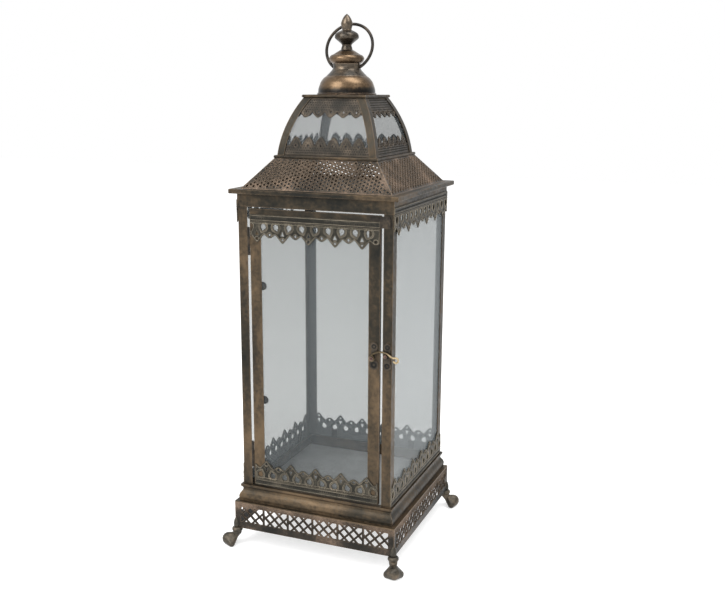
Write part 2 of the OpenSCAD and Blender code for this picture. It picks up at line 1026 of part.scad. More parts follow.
module keeper_peg() {
    color("#8a7350")
        translate([peg_x, plate_face, peg_z])
            rotate([90, 0, 0])
                cylinder(r = peg_r, h = peg_l);
}

hook_from = 50;
hook_to = 134;
curl_r = 3.6;
curl_turn = 280;
wire_sides = 12;

// Points on an arc about c, from one angle to another, in n steps
function arc(c, r, from, to, n) = [for (i = [0:n])
    c + r * [cos(from + (to - from) * i / n), sin(from + (to - from) * i / n)]];

// A flat bent wire: one ring of points round each point of the path
module wire(path, r) {
    last = len(path) - 1;
    ring_points = [for (i = [0:last])
        let (way = path[min(i + 1, last)] - path[max(i - 1, 0)], side = [-way[1], way[0]] / norm(way))
        for (k = [0:wire_sides - 1])
            let (out = r * cos(360 * k / wire_sides))
            [path[i][0] + side[0] * out, path[i][1] + side[1] * out, r * sin(360 * k / wire_sides)]];
    walls = [for (i = [0:last - 1], k = [0:wire_sides - 1])
        let (a = i * wire_sides, next = (k + 1) % wire_sides)
        [a + k, a + wire_sides + k, a + wire_sides + next, a + next]];
    polyhedron(ring_points, concat([[for (k = [0:wire_sides - 1]) k]], walls,
        [[for (k = [wire_sides - 1:-1:0]) last * wire_sides + k]]));
}

// The hook: an eye on the rivet, an arc over the peg and a curled finger loop
module hook() {
    arc_centre = [hook_mid, hook_centre_z - latch_z];
    bow = arc(arc_centre, hook_reach, hook_to, hook_from, 14);
    curl_centre = bow[14] + [8, -4.8];
    curl = arc(curl_centre, curl_r, 120, 120 - curl_turn, 20);
    dip = (bow[14] + curl[0]) / 2 - [0, 0.7];
    color("#a58a52")
        translate([latch_x, hook_y, latch_z])
            rotate([90, 0, 0])
                difference() {
                    union() {
                        cylinder(r = eye_r, h = 2 * hook_wire_r, center = true);
                        wire(concat([for (i = [0:13]) bow[i]], spline([bow[14], dip, curl[0]], 3),
                            [for (i = [1:20]) curl[i]]), hook_wire_r);
                    }
                    cylinder(r = rivet_r + pin_fit, h = 10, center = true);
                }
}

stop_h = 16.3;
stop_lap = 14.5;
stop_t = 1;
stop_rail_w = 16;
stop_corner = 4;

// The stop: a tab on the top rail that laps over the right post
module door_stop() {
    top = z_door + door_h - 0.5;
    color("#3d332a") {
        upright(door_face, gap)
            translate([door_r - stop_rail_w, top - trim_top_inset + 1])
                square([stop_rail_w, trim_top_inset - 1]);
        upright(door_face - gap, stop_t) {
            translate([door_r - stop_rail_w, top - trim_top_inset + 1])
                square([stop_rail_w, trim_top_inset - 1]);
            translate([door_r - trim_side + gap, top - stop_h])
                square([stop_lap + trim_side - gap - stop_corner, stop_h]);
            translate([door_r - trim_side + gap, top - stop_h])
                square([stop_lap + trim_side - gap, stop_h - stop_corner]);
            translate([door_r + stop_lap - stop_corner, top - stop_corner])
                circle(stop_corner);
        }
    }
}

foot_front_left();
foot_front_right();
foot_back_right();
foot_back_left();
plinth_front();
plinth_right();
plinth_back();
plinth_left();
deck_plate();
floor_tray();
sill();
post_front_left();
post_front_right();
post_back_right();
post_back_left();
fascia();
eave();
pane_left();
pane_right();
pane_back();
pane_clips();
side_trims_top();
side_trims_bottom();
roof_front();
roof_right();
roof_back();
roof_left();
roof_ring();
cupola_ribs();
cupola_glass_front();
cupola_glass_right();
cupola_glass_back();
cupola_glass_left();
cupola_trims_top();
cupola_trims_bottom();
cap_plate();
dome();
neck();
flange();
finial();
tie_rod();
tie_nut();
ring_handle();
door_frame();
door_glass();
door_trim_top();
door_trim_bottom();
door_glass_clips();
hinge_door_leaves();
hinge_post_leaves();
hinge_pins();
latch_plate();
latch_rivet();
hook();
keeper_plate();
keeper_peg();
door_stop();
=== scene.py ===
"""The looks of a candle lantern in aged bronze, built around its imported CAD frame."""

import json
import math

import bmesh
import bpy
from mathutils import Matrix, Vector
from mathutils.bvhtree import BVHTree


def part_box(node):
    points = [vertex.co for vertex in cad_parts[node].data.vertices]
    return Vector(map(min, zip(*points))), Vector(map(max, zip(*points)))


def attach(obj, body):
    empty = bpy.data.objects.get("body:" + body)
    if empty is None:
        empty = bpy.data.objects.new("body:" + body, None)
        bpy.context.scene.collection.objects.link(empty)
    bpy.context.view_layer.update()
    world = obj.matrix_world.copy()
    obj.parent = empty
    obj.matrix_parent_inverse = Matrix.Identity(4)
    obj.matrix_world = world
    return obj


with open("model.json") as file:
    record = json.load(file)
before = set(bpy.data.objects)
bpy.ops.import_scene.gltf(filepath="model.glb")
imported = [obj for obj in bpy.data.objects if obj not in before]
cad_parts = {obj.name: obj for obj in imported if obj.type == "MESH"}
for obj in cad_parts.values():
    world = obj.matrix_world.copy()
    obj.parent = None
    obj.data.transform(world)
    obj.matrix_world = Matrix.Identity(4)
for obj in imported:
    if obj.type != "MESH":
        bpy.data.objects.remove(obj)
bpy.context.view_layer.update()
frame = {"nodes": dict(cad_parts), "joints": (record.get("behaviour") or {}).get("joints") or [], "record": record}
nodes = frame["nodes"]
MM = 0.001
SIDES = ("front", "right", "back", "left")
# Directions on the front of the lantern: across it, out of it and up
RIGHT = Vector((1, 0, 0))
OUT = Vector((0, -1, 0))
UP = Vector((0, 0, 1))

# ---- The photograph's view, in the lantern's own frame ----

VIEW_AZIMUTH = math.radians(21.80)
VIEW_ELEVATION = math.radians(12.69)
VIEW_DISTANCE = 1483.84 * MM
VIEW_ROLL = 0.005525
AIM_RIGHT = 24.81 * MM
AIM_HEIGHT = 367.88 * MM
LENS_MM = 47.87
SENSOR_MM = 36.0
NEAREST_SEEN = 50 * MM


# ---- Material helpers ----

def grey(value):
    return (value, value, value)


# The sockets of a Mix node that hold its two colours and its result
FIRST_COLOUR = 6
SECOND_COLOUR = 7
MIXED_COLOUR = 2
# How wide an edge is lightened by rubbing and by a painted highlight, how finely that is
# measured, and how soon it is fully lightened
EDGE_RADIUS = 1.6 * MM
EDGE_SAMPLES = 4
EDGE_GAIN = 5.0
# How strongly the fine specks break up the rubbing and the painted highlight on edges
SPECK_GAIN = 1.7
# Shares of the drifting patches and of the fine specks in a metal's tone
PATCH_SHARE = 0.72
SPECK_SHARE = 0.28
# The tones at which a metal has its four shades, and the one that a spread leaves in place
SHADE_TONES = (0.34, 0.46, 0.55, 0.68)
MIDDLE_TONE = 0.5
BUMP_DEPTH = 0.3 * MM
# The tones of the specks at which a metal has its two values of gloss
DARK_SPECK = 0.3
LIGHT_SPECK = 0.7
# How much painted shade darkens closed and open places, and how finely they are measured
CREVICE_SHADE_STOPS = [(0.45, grey(0.3)), (0.95, grey(1.0))]
CREVICE_SHADE_SAMPLES = 6
# The thin film on a pane: its colour, its gloss, and how large and how rough its smears are
FILM_COLOUR = (0.52, 0.57, 0.59, 1.0)
FILM_SPECULAR = 0.9
SMEAR_SCALE = 14.0
SMEAR_STOPS = [(0.35, grey(0.03)), (0.7, grey(0.1))]


def new_material(name):
    """An empty material, its node tree and its output node."""
    mat = bpy.data.materials.new(name)
    mat.use_nodes = True
    tree = mat.node_tree
    tree.nodes.clear()
    out = tree.nodes.new("ShaderNodeOutputMaterial")
    return mat, tree, out


def place(tree, scale=(1, 1, 1)):
    """Object coordinates, which are metres in the lantern's frame, times scale."""
    coords = tree.nodes.new("ShaderNodeTexCoord")
    mapping = tree.nodes.new("ShaderNodeMapping")
    mapping.inputs["Scale"].default_value = scale
    tree.links.new(coords.outputs["Object"], mapping.inputs["Vector"])
    return mapping.outputs["Vector"]


def noise(tree, vector, scale, detail=4.0, rough=0.55):
    """Clouds of tones round 0.5, finer with a larger scale."""
    node = tree.nodes.new("ShaderNodeTexNoise")
    node.inputs["Scale"].default_value = scale
    node.inputs["Detail"].default_value = detail
    node.inputs["Roughness"].default_value = rough
    tree.links.new(vector, node.inputs["Vector"])
    return node.outputs["Fac"]


def ramp(tree, value, stops):
    """A colour ramp through (place, colour) stops."""
    node = tree.nodes.new("ShaderNodeValToRGB")
    band = node.color_ramp
    while len(band.elements) < len(stops):
        band.elements.new(0.5)
    for element, (at, colour) in zip(band.elements, stops):
        element.position = at
        element.color = (*colour, 1.0)
    tree.links.new(value, node.inputs["Fac"])
    return node.outputs["Color"]


def fill(tree, socket, value):
    """Links a socket to another one, or sets it to a colour or a number."""
    if isinstance(value, bpy.types.NodeSocket):
        tree.links.new(value, socket)
    elif isinstance(value, tuple):
        socket.default_value = (*value, 1.0)
    else:
        socket.default_value = value


def mix(tree, factor, first, second, kind="MIX"):
    """Two colours mixed by a factor."""
    node = tree.nodes.new("ShaderNodeMix")
    node.data_type = "RGBA"
    node.blend_type = kind
    fill(tree, node.inputs["Factor"], factor)
    fill(tree, node.inputs[FIRST_COLOUR], first)
    fill(tree, node.inputs[SECOND_COLOUR], second)
    return node.outputs[MIXED_COLOUR]


def math_node(tree, operation, first, second, clamp=False):
    """Two numbers added, subtracted or multiplied."""
    node = tree.nodes.new("ShaderNodeMath")
    node.operation = operation
    node.use_clamp = clamp
    fill(tree, node.inputs[0], first)
    fill(tree, node.inputs[1], second)
    return node.outputs[0]


def edge_wear_and_highlight(tree):
    """0 on flat faces, rising towards 1 at sharp edges, for rubbing and a painted highlight."""
    bevel = tree.nodes.new("ShaderNodeBevel")
    bevel.samples = EDGE_SAMPLES
    bevel.inputs["Radius"].default_value = EDGE_RADIUS
    plain = tree.nodes.new("ShaderNodeNewGeometry")
    dot = tree.nodes.new("ShaderNodeVectorMath")
    dot.operation = "DOT_PRODUCT"
    tree.links.new(bevel.outputs["Normal"], dot.inputs[0])
    tree.links.new(plain.outputs["Normal"], dot.inputs[1])
    apart = math_node(tree, "SUBTRACT", 1.0, dot.outputs["Value"])
    return math_node(tree, "MULTIPLY", apart, EDGE_GAIN, clamp=True)


def bump(tree, height, strength):
    node = tree.nodes.new("ShaderNodeBump")
    node.inputs["Strength"].default_value = strength
    node.inputs["Distance"].default_value = BUMP_DEPTH
    tree.links.new(height, node.inputs["Height"])
    return node.outputs["Normal"]


def metal_shader(tree, out, colour, roughness, normal, metallic):
    """Joins a metal's colour, roughness and bump to the material's output."""
    shader = tree.nodes.new("ShaderNodeBsdfPrincipled")
    shader.inputs["Metallic"].default_value = metallic
    shader.inputs["Specular IOR Level"].default_value = 0.5
    tree.links.new(colour, shader.inputs["Base Color"])
    tree.links.new(roughness, shader.inputs["Roughness"])
    tree.links.new(normal, shader.inputs["Normal"])
    tree.links.new(shader.outputs["BSDF"], out.inputs["Surface"])


def shift_along(tree, start, end, amount, axis):
    """Minus half of amount at start on the axis, rising to plus half of it at end."""
    parts = tree.nodes.new("ShaderNodeSeparateXYZ")
    tree.links.new(place(tree), parts.inputs["Vector"])
    span = tree.nodes.new("ShaderNodeMapRange")
    span.inputs["From Min"].default_value = start
    span.inputs["From Max"].default_value = end
    span.inputs["To Min"].default_value = -amount / 2
    span.inputs["To Max"].default_value = amount / 2
    tree.links.new(parts.outputs[axis], span.inputs["Value"])
    return span.outputs["Result"]


def crevice_shade(tree, reach):
    """1 in the open, falling towards 0 as painted shade beside raised lines that shut out light."""
    node = tree.nodes.new("ShaderNodeAmbientOcclusion")
    node.samples = CREVICE_SHADE_SAMPLES
    node.inputs["Distance"].default_value = reach
    return node.outputs["AO"]


def aged_metal(name, shades, worn, patch=9.0, speck=160.0, wear=0.55, gloss=(0.34, 0.62),
               stretch=(1, 1, 1), grain=0.25, metallic=0.75, crevice=0.0, fade=None, spread=1.0):
    """Dark patina in drifting patches, rubbing and a painted highlight on edges, and fine mottling.

    shades run from dark to light, worn is the colour of edges lightened by rubbing and by a painted
    highlight, and wear how much they are lightened. patch and speck are noise scales, stretch is the
    patches' scale on each axis, gloss is the roughness of dark and of light specks, and grain is the
    strength of the specks' bump. A crevice is how far painted shade reaches beside raised lines, a
    fade comes from fade_over, and spread sets how far apart the four tones lie.
    """
    mat, tree, out = new_material(name)
    patches = noise(tree, place(tree, stretch), patch, detail=5.0, rough=0.6)
    specks = noise(tree, place(tree), speck, detail=3.0, rough=0.6)
    tone = math_node(tree, "ADD", math_node(tree, "MULTIPLY", patches, PATCH_SHARE),
                     math_node(tree, "MULTIPLY", specks, SPECK_SHARE))
    if fade:
        tone = math_node(tree, "ADD", tone, shift_along(tree, *fade))
    stops = [(MIDDLE_TONE + (at - MIDDLE_TONE) * spread, shade) for at, shade in zip(SHADE_TONES, shades)]
    colour = ramp(tree, tone, stops)
    # Edges are lightened partly by real rubbing and partly as a painted highlight
    rubbed = math_node(tree, "MULTIPLY", edge_wear_and_highlight(tree), wear)
    broken = math_node(tree, "MULTIPLY", specks, SPECK_GAIN, clamp=True)
    colour = mix(tree, math_node(tree, "MULTIPLY", rubbed, broken, clamp=True), colour, worn)
    # Painted shade: darker beside raised lines, by how much they shut out light
    if crevice:
        painted_shade = ramp(tree, crevice_shade(tree, crevice), CREVICE_SHADE_STOPS)
        colour = mix(tree, 1.0, colour, painted_shade, "MULTIPLY")
    rough = ramp(tree, specks, [(DARK_SPECK, grey(gloss[0])), (LIGHT_SPECK, grey(gloss[1]))])
    metal_shader(tree, out, colour, rough, bump(tree, specks, grain), metallic)
    return mat


def glass_material(name, tint, film):
    """A clear pane: what is behind shows through its tint, under a film that reflects a little."""
    mat, tree, out = new_material(name)
    clear = tree.nodes.new("ShaderNodeBsdfTransparent")
    clear.inputs["Color"].default_value = (*tint, 1.0)
    face = tree.nodes.new("ShaderNodeBsdfPrincipled")
    face.inputs["Base Color"].default_value = FILM_COLOUR
    face.inputs["Specular IOR Level"].default_value = FILM_SPECULAR
    smear = ramp(tree, noise(tree, place(tree), SMEAR_SCALE, detail=3.0), SMEAR_STOPS)
    tree.links.new(smear, face.inputs["Roughness"])
    both = tree.nodes.new("ShaderNodeMixShader")
    both.inputs["Fac"].default_value = film
    tree.links.new(clear.outputs["BSDF"], both.inputs[1])
    tree.links.new(face.outputs["BSDF"], both.inputs[2])
    tree.links.new(both.outputs["Shader"], out.inputs["Surface"])
    return mat


def fade_over(name, start, end, amount, axis="Z"):
    """A shift of tone by amount between two places, in millimetres from a node's low end on an axis."""
    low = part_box(name)[0]["XYZ".index(axis)]
    return low + start * MM, low + end * MM, amount, axis


# ---- The materials, each with four shades from dark to light ----

SHEET_SHADES = [(0.010, 0.010, 0.008), (0.026, 0.021, 0.014), (0.056, 0.040, 0.024), (0.112, 0.076, 0.043)]
PLINTH_SHADES = [(0.013, 0.012, 0.010), (0.032, 0.026, 0.020), (0.095, 0.068, 0.049), (0.21, 0.15, 0.108)]
ROOF_SHADES = [(0.013, 0.012, 0.010), (0.030, 0.025, 0.019), (0.070, 0.053, 0.039), (0.19, 0.135, 0.098)]
TRIM_SHADES = [(0.008, 0.009, 0.007), (0.019, 0.018, 0.014), (0.042, 0.038, 0.029), (0.090, 0.076, 0.056)]
LACE_SHADES = [(0.012, 0.011, 0.009), (0.026, 0.022, 0.017), (0.052, 0.042, 0.031), (0.105, 0.080, 0.057)]
RUBBED_SHADES = [(0.042, 0.038, 0.030), (0.092, 0.083, 0.064), (0.165, 0.144, 0.110), (0.28, 0.24, 0.18)]
GROOVE_SHADES = [grey(0.004), (0.008, 0.008, 0.007), (0.014, 0.013, 0.011), (0.024, 0.022, 0.018)]
CAST_SHADES = [(0.020, 0.019, 0.016), (0.048, 0.043, 0.034), (0.085, 0.070, 0.052), (0.15, 0.115, 0.08)]
COPPER_SHADES = [(0.011, 0.010, 0.009), (0.028, 0.022, 0.016), (0.066, 0.044, 0.026), (0.130, 0.086, 0.050)]
FINIAL_SHADES = [(0.014, 0.013, 0.011), (0.036, 0.031, 0.025), (0.074, 0.060, 0.045), (0.15, 0.113, 0.078)]
IRON_SHADES = [(0.006, 0.006, 0.005), (0.014, 0.012, 0.010), (0.028, 0.023, 0.018), (0.07, 0.052, 0.034)]
BRASS_SHADES = [(0.030, 0.024, 0.017), (0.075, 0.056, 0.036), (0.17, 0.125, 0.076), (0.42, 0.33, 0.20)]
RIVET_SHADES = [(0.018, 0.011, 0.009), (0.045, 0.026, 0.021), (0.095, 0.055, 0.043), (0.20, 0.125, 0.095)]
STEEL_SHADES = [grey(0.2), grey(0.32), grey(0.42), grey(0.5)]
TRAY_SHADES = [(0.23, 0.235, 0.232), (0.32, 0.326, 0.322), (0.40, 0.406, 0.402), (0.48, 0.49, 0.485)]

# Colours of edges, lightened by rubbing and by a painted highlight
BRONZE_WORN_LIT = (0.22, 0.15, 0.09)
COPPERY_WORN_LIT = (0.30, 0.21, 0.14)
DIM_WORN_LIT = (0.15, 0.11, 0.075)
TRIM_WORN_LIT = (0.19, 0.16, 0.115)
COPPER_WORN_LIT = (0.40, 0.26, 0.16)
BRASS_WORN_LIT = (0.5, 0.38, 0.2)
IRON_WORN_LIT = (0.13, 0.095, 0.06)
RUBBED_WORN_LIT = (0.30, 0.25, 0.18)
GROOVE_WORN_LIT = (0.05, 0.04, 0.03)
RIVET_WORN_LIT = (0.35, 0.25, 0.2)

# Painted shade: the body and its trims get lighter from the eave down to the sill, darker up where
# the eave shades them. The dome gets lighter upwards over a short height, its darker foot a painted
# dark reflection. The plinth also gets lighter upwards over a short height, and the hook's wire
# towards its curled end.
BODY_EAVE_SHADE = fade_over("post_front_left", 462, -38, 0.09)
TRIM_EAVE_SHADE = fade_over("post_front_left", 462, -38, 0.05)
PLINTH_FADE = fade_over("plinth_front", 27.5, 35.5, 0.15)
# Painted dark reflection on the dome's lower skirt
DOME_DARK_REFLECTION = fade_over("dome", 5.5, 12.5, 0.3)
HOOK_FADE = fade_over("hook", 10.3, 36.3, 0.42, "X")

# How far painted shade reaches from the raised lines of the trims and of the plinth
TRIM_SHADE_REACH = 2.4 * MM
PLINTH_SHADE_REACH = 2.0 * MM

materials = {
    "bronze_sheet": aged_metal("aged_bronze_sheet", SHEET_SHADES, BRONZE_WORN_LIT, patch=9.0,
                               stretch=(1, 1, 0.5), fade=BODY_EAVE_SHADE),
    "cast_bronze": aged_metal("aged_bronze_cast", CAST_SHADES, BRONZE_WORN_LIT, patch=60.0, speck=300.0,
                              grain=0.5),
    "trim_metal": aged_metal("stamped_pewter_bronze", TRIM_SHADES, TRIM_WORN_LIT, patch=40.0, speck=520.0,
                             wear=0.8, grain=0.6, crevice=TRIM_SHADE_REACH, fade=TRIM_EAVE_SHADE),
    "copper_finish": aged_metal("worn_copper", COPPER_SHADES, COPPER_WORN_LIT, patch=20.0, speck=220.0,
                                gloss=(0.24, 0.42), grain=0.12, metallic=0.9, fade=DOME_DARK_REFLECTION),
    "grey_metal": aged_metal("grey_tray", TRAY_SHADES, grey(0.4), wear=0.1, gloss=(0.42, 0.6),
                             grain=0.08, metallic=0.3),
    "latch_brass": aged_metal("worn_brass", BRASS_SHADES, BRASS_WORN_LIT, patch=80.0, speck=400.0,
                              gloss=(0.25, 0.4), grain=0.1, metallic=0.9, fade=HOOK_FADE),
    "dark_iron": aged_metal("dark_bronze_small_parts", IRON_SHADES, IRON_WORN_LIT, patch=60.0,
                            speck=300.0, wear=0.25, grain=0.15),
    "plain_steel": aged_metal("plain_steel", STEEL_SHADES, grey(0.6), patch=60.0, grain=0.1),
    "glass": glass_material("fixed_pane_glass", tint=(0.775, 0.779, 0.776), film=0.16),
}
door_glass = glass_material("door_pane_glass", tint=(0.795, 0.797, 0.794), film=0.055)
cupola_glass = glass_material("cupola_pane_glass", tint=(0.768, 0.77, 0.768), film=0.05)
upright_metal = aged_metal("aged_bronze_upright", SHEET_SHADES, BRONZE_WORN_LIT, patch=11.0, speck=190.0,
                           stretch=(1.5, 1.5, 0.7), grain=0.35, fade=BODY_EAVE_SHADE, spread=0.9)
level_metal = aged_metal("aged_bronze_level", SHEET_SHADES, BRONZE_WORN_LIT, patch=14.0, speck=190.0,
                         stretch=(0.8, 0.8, 1.5), grain=0.35, fade=BODY_EAVE_SHADE, spread=0.8)
plinth_metal = aged_metal("coppery_pierced_sheet", PLINTH_SHADES, COPPERY_WORN_LIT, patch=22.0,
                          speck=420.0, grain=0.8, crevice=PLINTH_SHADE_REACH, fade=PLINTH_FADE)
roof_metal = aged_metal("coppery_perforated_sheet", ROOF_SHADES, COPPERY_WORN_LIT, patch=24.0,
                        speck=420.0, grain=0.6, spread=0.8)
finial_metal = aged_metal("grey_brown_patina", FINIAL_SHADES, COPPERY_WORN_LIT, patch=34.0, speck=240.0,
                          gloss=(0.22, 0.42), grain=0.15, metallic=0.85)
lace_metal = aged_metal("dark_lace_sheet", LACE_SHADES, DIM_WORN_LIT, patch=40.0, speck=520.0,
                        grain=0.6, crevice=TRIM_SHADE_REACH)
leaf_metal = aged_metal("dim_raised_lines", FINIAL_SHADES, DIM_WORN_LIT, patch=60.0, speck=600.0, grain=0.3)
rubbed_metal = aged_metal("rubbed_raised_lines", RUBBED_SHADES, RUBBED_WORN_LIT, patch=60.0, speck=600.0,
                          grain=0.3)
groove_metal = aged_metal("dark_grooves", GROOVE_SHADES, GROOVE_WORN_LIT, patch=60.0, grain=0.1,
                          gloss=(0.5, 0.7))
rivet_metal = aged_metal("reddish_rivets", RIVET_SHADES, RIVET_WORN_LIT, patch=200.0, speck=600.0,
                         gloss=(0.2, 0.35), grain=0.1)

# Nodes with a finish of their own. The others have their slot's.
SPECIAL = {"finial": finial_metal, "neck": finial_metal, "door_glass": door_glass,
           "latch_rivet": rivet_metal, "keeper_peg": rivet_metal,
           "latch_plate": lace_metal, "keeper_plate": lace_metal,
           "cupola_trims_top": lace_metal, "cupola_trims_bottom": lace_metal}
for name in ("sill", "fascia", "eave", "roof_ring", "cap_plate"):
    SPECIAL[name] = level_metal
for name in ("door_frame", "post_front_left", "post_front_right", "post_back_right", "post_back_left"):
    SPECIAL[name] = upright_metal
for side in SIDES:
    SPECIAL["plinth_" + side] = plinth_metal
    SPECIAL["roof_" + side] = roof_metal
    SPECIAL["cupola_glass_" + side] = cupola_glass


def dress(obj, material):
    obj.data.materials.clear()
    obj.data.materials.append(material)


slot_of = {part["node"]: part["material_slot"] for part in frame["record"]["subparts"]}
for name, obj in nodes.items():
    dress(obj, SPECIAL.get(name, materials[slot_of[name]]))


# ---- Stamped relief: raised lines, grooves and dots on the sheets ----

# Corners of a node's mesh closer than this are joined, and those of a rim are taken as one
MESH_WELD = 0.01 * MM
RIM_WELD = 0.15 * MM
# Cosine of the bend up to which neighbouring faces belong to one side of a sheet
GENTLE = math.cos(math.radians(32))
# A side is used if it has this share of the largest one's area, and this cosine to the way out
SIDE_SHARE = 0.2
SIDE_OUTWARD = 0.3
# How far the feet of raised lines lie inside the sheet
SINK = 0.05 * MM
# A groove is a low dark line: how far it starts from the rim, and how high it stands
GROOVE_INSET = 0.05 * MM
GROOVE_RISE = 0.12 * MM
# A second line starts this many widths after the first
SECOND_LINE = 1.9
# The height of a dot as a share of its radius, and its two rings as shares of its height and radius
STUD_RISE = 0.55
STUD_RINGS = ((-0.05, 1.0), (0.6, 0.8))


def gently_joined(form):
    """The faces of a mesh in groups, grown over gentle bends."""
    groups, seen = [], set()
    for start in form.faces:
        if start in seen:
            continue
        seen.add(start)
        group, growing = [], [start]
        while growing:
            face = growing.pop()
            group.append(face)
            for edge in face.edges:
                for other in edge.link_faces:
                    if other not in seen and other.normal.dot(face.normal) > GENTLE:
                        seen.add(other)
                        growing.append(other)
        groups.append(group)
    return groups


def outward_sides(form):
    """The large sides of thin sheets that look away from the lantern's middle, as groups of faces."""
    groups = gently_joined(form)
    sizes = [sum(face.calc_area() for face in group) for group in groups]
    chosen = []
    for group, size in zip(groups, sizes):
        if size < SIDE_SHARE * max(sizes):
            continue
        centre, normal = Vector(), Vector()
        for face in group:
            centre += face.calc_center_median() * face.calc_area() / size
            normal += face.normal * face.calc_area() / size
        if normal.dot(Vector((centre.x, centre.y, 0)).normalized()) > SIDE_OUTWARD:
            chosen.append(group)
    return chosen


def rims(group):
    """The closed edges of a group of faces, as lists of (point, normal), with the faces to their left."""
    inside = set(group)
    following = {}
    for face in group:
        for corner in face.loops:
            if any(other not in inside for other in corner.edge.link_faces):
                following[corner.vert] = (corner.link_loop_next.vert, face.normal)
    loops = []
    while following:
        vert = next(iter(following))
        loop = []
        while vert in following:
            after, normal = following.pop(vert)
            if not loop or (vert.co - loop[-1][0]).length > RIM_WELD:
                loop.append((vert.co.copy(), normal.copy()))
            vert = after
        if len(loop) > 3:
            loops.append(loop)
    return loops


def length_of(loop):
    return sum((a[0] - b[0]).length for a, b in zip(loop, loop[1:] + loop[:1]))


def circle(centre, across, up, radius, count):
    """Points round a circle, starting across and turning up."""
    return [centre + radius * (across * math.cos(turn) + up * math.sin(turn))
            for turn in (2 * math.pi * k / count for k in range(count))]


def bead(form, loop, inset, width, height, steps=5):
    """A half-round raised line that follows a rim, inset into the sheet."""
    turns = [math.pi * k / steps for k in range(steps + 1)]
    rows = []
    for i, (point, normal) in enumerate(loop):
        along = loop[(i + 1) % len(loop)][0] - loop[i - 1][0]
        into = normal.cross(along).normalized()
        rows.append([form.verts.new(point + into * (inset + width / 2 * (1 - math.cos(turn)))
                                    + normal * (height * math.sin(turn) - SINK)) for turn in turns])
    for i, row in enumerate(rows):
        for k in range(steps):
            form.faces.new((rows[i - 1][k + 1], row[k + 1], row[k], rows[i - 1][k]))


def stud(form, centre, across, normal, radius, sides=8):
    """A small raised dot on a sheet."""
    up = normal.cross(across)
    height = radius * STUD_RISE
    low, high = [[form.verts.new(point) for point in
                  circle(centre + normal * height * lift, across, up, radius * share, sides)]
                 for lift, share in STUD_RINGS]
    tip = form.verts.new(centre + normal * height)
    for k in range(sides):
        after = (k + 1) % sides
        form.faces.new((low[k], low[after], high[after], high[k]))
        form.faces.new((high[k], high[after], tip))


def quarter_turn(quarter):
    """The turn that takes the front to another side of the lantern."""
    return Matrix.Rotation(math.radians(90 * quarter), 3, "Z")


def stud_row(form, quarter, start, count, pitch, radius):
    """A straight row of raised dots on one side, from a start that is given on the front."""
    turn = quarter_turn(quarter)
    for i in range(count):
        stud(form, turn @ start + turn @ RIGHT * pitch * i, turn @ RIGHT, turn @ OUT, radius)


def add_piece(name, form, body, material):
    """Makes a visible piece of a mesh, with its body and its material."""
    mesh = bpy.data.meshes.new(name)
    bmesh.ops.recalc_face_normals(form, faces=form.faces)
    form.to_mesh(mesh)
    form.free()
    for face in mesh.polygons:
        face.use_smooth = True
    obj = bpy.data.objects.new(name, mesh)
    bpy.context.scene.collection.objects.link(obj)
    dress(obj, material)
    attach(obj, body)


def sheet_of(name):
    """A node's own mesh in the lantern's frame, with its corners joined."""
    obj = nodes[name]
    form = bmesh.new()
    form.from_mesh(obj.data)
    form.transform(obj.matrix_world)
    bmesh.ops.remove_doubles(form, verts=form.verts, dist=MESH_WELD)
    bmesh.ops.dissolve_degenerate(form, edges=form.edges, dist=MESH_WELD)
    form.normal_update()
    return form


def relief(name, body, inset, line, metal, grooved=False, double_from=None, outline=True, rise=0.5):
    """A raised line inside every rim of a pierced sheet, with a dark groove between them if grooved.

    Rims from double_from to twice that length get a second line, and without outline the sheet's
    own outer rim gets none. rise is a line's height as a share of its width.
    """
    sheet = sheet_of(name)
    grooves, lines = bmesh.new(), bmesh.new()
    for group in outward_sides(sheet):
        loops = sorted(rims(group), key=length_of)
        for loop in loops if outline else loops[:-1]:
            if grooved:
                bead(grooves, loop, GROOVE_INSET, inset, GROOVE_RISE, steps=2)
            bead(lines, loop, inset, line, line * rise)
            if double_from and double_from < length_of(loop) < 2 * double_from:
                bead(lines, loop, inset + line * SECOND_LINE, line, line * rise)
    sheet.free()
    if grooved:
        add_piece(name + "_grooves", grooves, body, groove_metal)
    else:
        grooves.free()
    add_piece(name + "_lines", lines, body, metal)


# ---- The trim strips ----

# Flat strips: the node, its body, the quarter turns from the front to where its strips lie, and
# how far from the corners its dots start
FLAT_TRIMS = (("door_trim_top", "door", (0,), 3 * MM),
              ("door_trim_bottom", "door", (0,), 3 * MM),
              ("side_trims_top", "lantern", (1, 2, 3), 6 * MM),
              ("side_trims_bottom", "lantern", (1, 2, 3), 6 * MM))
TRIM_GROOVE = 1.0 * MM
TRIM_LINE = 0.9 * MM
# Holes with a rim from this long to twice as long have a second line
TEARDROP_RIM = 20 * MM
# How far the strips' own raised bead stands from their face
STRIP_BEAD = 0.6 * MM
# Dots along the plain edge of a flat strip: how far in they lie, their pitch and their radius
BAND_INSET = 5.4 * MM
BAND_PITCH = 3.4 * MM
BAND_RADIUS = 1.1 * MM
# Dots of the cupola's strips: pitch, radius, sides, and how far they stay from a rim
LACE_PITCH = 3.7 * MM
LACE_RADIUS = 1.05 * MM
LACE_SIDES = 6
LACE_MARGIN = 2.1 * MM
# Height of a staggered row as a share of the pitch
ROW_STEP = 0.87
# How many points round a dot have to meet the sheet, and the least cosine between it and the way out
MARGIN_POINTS = 8
LEAST_FACING = 0.4
# A distance from the middle that is outside the cupola
OUTSIDE = 300 * MM


def flat_trims():
    """Grooves and lines on the strips of the door and the sides."""
    for name, body, _, _ in FLAT_TRIMS:
        relief(name, body, TRIM_GROOVE, TRIM_LINE, rubbed_metal, grooved=True,
               double_from=TEARDROP_RIM)


